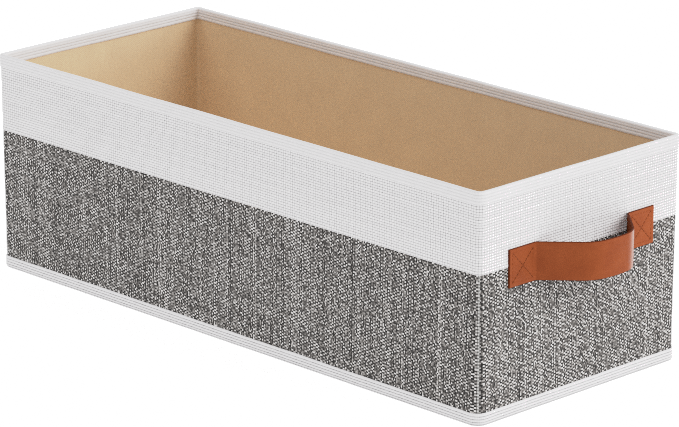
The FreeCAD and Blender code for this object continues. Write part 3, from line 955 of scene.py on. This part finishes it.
row_z = RIM_Z + 1.42
rel = side_relief([row_z])
o = tape_row(row_z, OUT_FACE + 0.02, 1.0, 3.0, 2.5, 61, rel)
i = tape_row(row_z + 0.15, IN_FACE - 0.02, -1.0, 3.0, 2.5, 62, rel)
rim_st = stitches("rim_stitches", o[0] + i[0], o[1] + i[1], o[2] + i[2], o[3] + i[3], 0.16, M_THREAD_W)
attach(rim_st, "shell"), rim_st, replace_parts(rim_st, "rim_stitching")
row_z = FOOT_TAPE - 1.30
rel = side_relief([row_z])
o = tape_row(row_z, OUT_FACE + 0.02, 1.0, 3.0, 2.5, 63, rel)
foot_st = stitches("foot_stitches", *o, 0.16, M_THREAD_W)
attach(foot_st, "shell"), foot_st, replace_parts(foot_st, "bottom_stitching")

# ------------------------------------------------------------------ strap handles
STRAP_W = end_hi[2] - end_lo[2]
STRAP_Z = 0.5 * (end_lo[2] + end_hi[2])
STRAP_T = 1.3
PATCH_END = end_hi[1]
REACH = loop_hi[0] - HX
FOLD_Y, FOLD_R = 42.3, 2.0
LEG_X, LEG_Y, SHOULDER_R = 21.3, 23.5, 22.0
CROWN_TURN = math.radians(8.0)


def strap_path(step_flat, step_bend):
    """Stations along half the strap: distance out of the wall, along it, heading."""
    half = STRAP_T / 2
    leg = math.atan2(LEG_X - half, FOLD_Y - LEG_Y)
    lead = FOLD_R * math.tan(leg / 2)
    run = math.hypot(LEG_X - half, FOLD_Y - LEG_Y) - lead
    y_after = LEG_Y - SHOULDER_R * (math.sin(leg) - math.sin(CROWN_TURN))
    crown_r = y_after / math.sin(CROWN_TURN)
    x, y, h = half, PATCH_END, 0.0
    pts = []
    for kind, a, b in (("line", PATCH_END - FOLD_Y - lead, 0), ("arc", FOLD_R, leg), ("line", run, 0),
                       ("arc", SHOULDER_R, CROWN_TURN - leg), ("arc", crown_r, -CROWN_TURN)):
        if kind == "line":
            n = max(2, int(a / step_flat))
            for t in np.arange(n) / n:
                pts.append((x + math.sin(h) * a * t, y - math.cos(h) * a * t, h))
            x, y = x + math.sin(h) * a, y - math.cos(h) * a
        else:
            sg = 1.0 if b > 0 else -1.0
            cx, cy = x + math.cos(h) * a * sg, y + math.sin(h) * a * sg
            n = max(6, int(abs(b) * a / step_bend))
            for t in np.arange(n) / n:
                hh = h + b * t
                pts.append((cx - math.cos(hh) * a * sg, cy - math.sin(hh) * a * sg, hh))
            h += b
            x, y = cx - math.cos(h) * a * sg, cy - math.sin(h) * a * sg
    pts.append((x, 0.0, 0.0))
    return pts


half_path = strap_path(0.5, 0.45)
stations = half_path + [(x, -y, -h) for x, y, h in reversed(half_path[:-1])]
ST = np.array(stations)

# section across the strap: (across, through, edge?) with the outer face first
w2 = STRAP_W / 2
EDGE_R = 0.45
face_w = np.linspace(-(w2 - EDGE_R), w2 - EDGE_R, 47)
section = [(w, STRAP_T / 2, 0) for w in face_w]
for a in np.linspace(0, math.pi, 11)[1:-1]:
    section.append((w2 - EDGE_R + EDGE_R * math.sin(a) ** 0.8, STRAP_T / 2 * 0.98 * math.cos(a), 1))
section += [(w, -STRAP_T / 2, 2) for w in np.linspace(w2 - EDGE_R, -(w2 - EDGE_R), 19)]
for a in np.linspace(0, math.pi, 11)[1:-1]:
    section.append((-(w2 - EDGE_R) - EDGE_R * math.sin(a) ** 0.8, -STRAP_T / 2 * 0.98 * math.cos(a), 1))
SEC = np.array(section)

BOX_Y0, BOX_Y1 = sti_lo[1] + 0.25, sti_hi[1] - 0.25
BOX_Z0, BOX_Z1 = sti_lo[2] + 0.25, sti_hi[2] - 0.25


def seam_lines():
    a, b, c, d = (BOX_Y0, BOX_Z0), (BOX_Y1, BOX_Z0), (BOX_Y1, BOX_Z1), (BOX_Y0, BOX_Z1)
    return [(a, b), (b, c), (c, d), (d, a), (a, c), (b, d)]


def seam_distance(y, z):
    best = np.full(y.shape, 99.0)
    for (y0, z0), (y1, z1) in seam_lines():
        dy, dz = y1 - y0, z1 - z0
        t = np.clip(((y - y0) * dy + (z - z0) * dz) / (dy * dy + dz * dz), 0, 1)
        best = np.minimum(best, np.hypot(y - y0 - t * dy, z - z0 - t * dz))
    return best


def strap(name, side, seed):
    rng = np.random.default_rng(seed)
    n = len(ST)
    seg = np.hypot(np.diff(ST[:, 0]), np.diff(ST[:, 1]))
    s = np.concatenate([[0], np.cumsum(seg)])
    X, Y, H = ST[:, 0].copy(), ST[:, 1], ST[:, 2]
    w, t, kind = SEC[:, 0][:, None], SEC[:, 1][:, None], SEC[:, 2][:, None]
    on_wall = (np.abs(Y) > FOLD_Y + 0.2)[None, :]
    edge_fade = np.clip((w2 - np.abs(w)) / 2.4, 0, 1)
    # a glued, turned leather strip: crowned, thinner at its edges
    through = np.where(kind == 0, t - 0.16 * (1 - edge_fade) ** 2, np.where(kind == 2, t + 0.10 * (1 - edge_fade) ** 2, t * 0.88))
    # the ends are pulled down by the seam
    dist = seam_distance(np.abs(Y)[None, :] + 0 * w, STRAP_Z + w + 0 * Y[None, :])
    groove = 0.12 * np.exp(-(dist / 0.36) ** 2) + 0.05 * np.exp(-(dist / 1.3) ** 2)
    through = through - np.where((kind == 0) & on_wall, groove, 0.0)
    # the free loop is a little uneven
    free = np.clip((X[None, :] - 3.0) / 12.0, 0, 1)
    a1, a2, a3 = rng.uniform(0, 6.28, 3)
    bow = 0.10 * np.sin(s[None, :] / 17.0 + a1) + 0.10 * np.sin(w / 7.0 + s[None, :] / 31.0 + a2)
    out = through + free * bow
    # end caps: the last half millimetre rounds over
    e = np.minimum(s, s[-1] - s)[None, :]
    rnd = np.sqrt(np.clip(1 - (1 - np.clip(e / 0.5, 0, 1)) ** 2, 0.09, 1))
    wall_side = -STRAP_T / 2
    out = np.where(e < 0.5, wall_side + (out - wall_side) * (0.35 + 0.65 * rnd), out)
    ww = np.where(e < 0.5, w * (1 - 0.018 * (1 - rnd)), w)
    # keep the sewn ends on the cloth, never in it
    out = np.where(on_wall & (kind == 2), np.maximum(out, wall_side + 0.02), out)
    px = X[None, :] + np.cos(H)[None, :] * out
    py = Y[None, :] + np.sin(H)[None, :] * out
    pz = STRAP_Z + ww + free * 0.12 * np.sin(s[None, :] / 23.0 + a3)
    P = np.stack([side * (HX + px), py + 0 * px, pz + 0 * px], 2)
    sec_s = np.concatenate([[0], np.cumsum(np.hypot(np.diff(SEC[:, 0]), np.diff(SEC[:, 1])))])
    edge_rows = {k for k in range(len(SEC)) if SEC[k, 2] == 1 or SEC[(k + 1) % len(SEC), 2] == 1}
    back_rows = {k for k in range(len(SEC)) if SEC[k, 2] == 2}
    ob = grid_mesh(name, P, s, sec_s, closed_u=False, closed_v=True, v_total=sec_s[-1] + 1.0, mats=[M_LEATHER, M_EDGE, M_BACK],
                   mat_rows=lambda r: 1 if r in edge_rows or r == -1 else (2 if r in back_rows else 0), caps=True)
    return ob


def mark_ends(ob, side):
    """The cut ends are painted too: faces whose centres lie within 0.30 mm of an end."""
    me = ob.data
    for p in me.polygons:
        y = abs(p.center[1]) * 1000
        if y > PATCH_END - 0.30:
            p.material_index = 1


for side, word, seed in ((1, "right", 5), (-1, "left", 9)):
    ob = strap("%s_handle_strap" % word, side, seed)
    mark_ends(ob, side)
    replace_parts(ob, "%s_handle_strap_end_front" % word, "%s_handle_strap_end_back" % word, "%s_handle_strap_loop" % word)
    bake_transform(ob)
    for sgn, fb in ((-1, "front"), (1, "back")):
        rng = np.random.default_rng(seed * 10 + sgn)
        cs, ds, ns, tan = [], [], [], []
        for k, ((y0, z0), (y1, z1)) in enumerate(seam_lines()):
            length = math.hypot(y1 - y0, z1 - z0)
            n = int(round(length / 2.75))
            for q in range(n):
                t = (q + 0.5) / n
                y, z = y0 + (y1 - y0) * t, z0 + (z1 - z0) * t
                d = np.array([0.0, sgn * (y1 - y0) / length, (z1 - z0) / length])
                d += np.array([0, rng.normal(0, 0.03), rng.normal(0, 0.03)])
                d /= np.linalg.norm(d)
                lift = 0.05 if k != 5 else 0.13
                cs.append([side * (HX + STRAP_T + lift - 0.08), sgn * (y + rng.normal(0, 0.03)), z + rng.normal(0, 0.03)])
                ds.append(d), ns.append(np.array([side * 1.0, 0, 0])), tan.append(k < 4)
        st = stitches("%s_handle_%s_stitches" % (word, fb), cs, ds, ns, [2.3] * len(cs), 0.12, M_THREAD_B)
        # the box is sewn in a thread closer to the leather than the cross is
        st.data.materials.append(M_THREAD_L)
        per = len(st.data.polygons) // len(cs)
        st.data.polygons.foreach_set("material_index", np.repeat(np.array(tan, np.int32), per))
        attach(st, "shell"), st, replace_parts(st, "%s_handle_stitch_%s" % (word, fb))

# ------------------------------------------------------------------ floor and light
k = Mat("pale_floor")
fp = k.noise(k.place(), 0.002, 2.0)
floor_mat = k.finish(k.ramp(fp, [(0.0, (0.38, 0.38, 0.38)), (1.0, (0.40, 0.40, 0.40))]), 0.9, Specular_IOR_Level=0.1,
                     Emission_Color=(1.0, 1.0, 1.0), Emission_Strength=1.34)
floor_mat.cycles.emission_sampling = "NONE"
me = bpy.data.meshes.new("studio_floor")
S = 12.0
me.from_pydata([(-S, -S, -0.0003), (S, -S, -0.0003), (S, S, -0.0003), (-S, S, -0.0003)], [], [(0, 1, 2, 3)])
me.materials.append(floor_mat)
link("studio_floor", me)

world = bpy.data.worlds.new("studio")
bpy.context.scene.world = world
world.use_nodes = True
world.cycles.sampling_method = "NONE"
bg = world.node_tree.nodes["Background"]
bg.inputs[0].default_value = (1.0, 1.0, 1.0, 1.0)
bg.inputs[1].default_value = 0.46


def sun(name, towards, strength, angle, colour=(1, 1, 1)):
    li = bpy.data.lights.new(name, "SUN")
    li.energy, li.angle, li.color = strength, math.radians(angle), colour
    ob = bpy.data.objects.new(name, li)
    ob.rotation_euler = (-Vector(towards)).to_track_quat("-Z", "Y").to_euler()
    bpy.context.scene.collection.objects.link(ob)
    return ob


sun("key", (0.72, 0.38, 0.58), 1.78, 35)
sun("rim", (0.42, 0.87, 0.26), 1.45, 24)
sun("fill", (-0.06, -0.46, 0.88), 1.00, 60)

# ------------------------------------------------------------------------- camera
az, el = math.radians(45.568), math.radians(17.3185)
back = Vector((math.sin(az) * math.cos(el), -math.cos(az) * math.cos(el), math.sin(el)))
right = Vector((math.cos(az), math.sin(az), 0.0))
up = back.cross(right)
LEN = 2 * HX * MM
loc = Vector((0, 0, 0.0751)) + back * (6.0615 * LEN) + right * (0.0168 * LEN) + up * (-0.0164 * LEN)
cam = bpy.data.cameras.new("camera")
cam.lens, cam.sensor_width, cam.sensor_fit = 219.65, 36.0, "HORIZONTAL"
cam.clip_start, cam.clip_end = 0.05, 100.0
cob = bpy.data.objects.new("camera", cam)
m = np.eye(4)
for c, v in enumerate((right, up, back, loc)):
    m[:3, c] = v
from mathutils import Matrix
cob.matrix_world = Matrix(m.tolist())
bpy.context.scene.collection.objects.link(cob)
bpy.context.scene.camera = cob
bpy.context.scene.cycles.filter_width = 1.1
bpy.context.scene.cycles.use_denoising = False    # the weave is as fine as the noise it would remove

vs_ = bpy.context.scene.view_settings
vs_.view_transform = "Standard"
vs_.look = "None"
vs_.exposure = 0.0
vs_.gamma = 1.0
vs_.use_curve_mapping = True            # a soft shoulder, so the lit end keeps its weave
cm = vs_.curve_mapping
cm.extend = "EXTRAPOLATED"
cm.white_level = (2.0, 2.0, 2.0)
c = cm.curves[3]
for px, py in ((0.05, 0.10), (0.10, 0.20), (0.20, 0.40), (0.30, 0.570), (0.36, 0.640), (0.44, 0.698), (0.54, 0.750), (0.62, 0.788), (0.70, 0.812), (0.765, 0.835), (0.80, 1.0)):
    c.points.new(px, py)
for q in c.points:
    q.handle_type = "VECTOR"
cm.update()
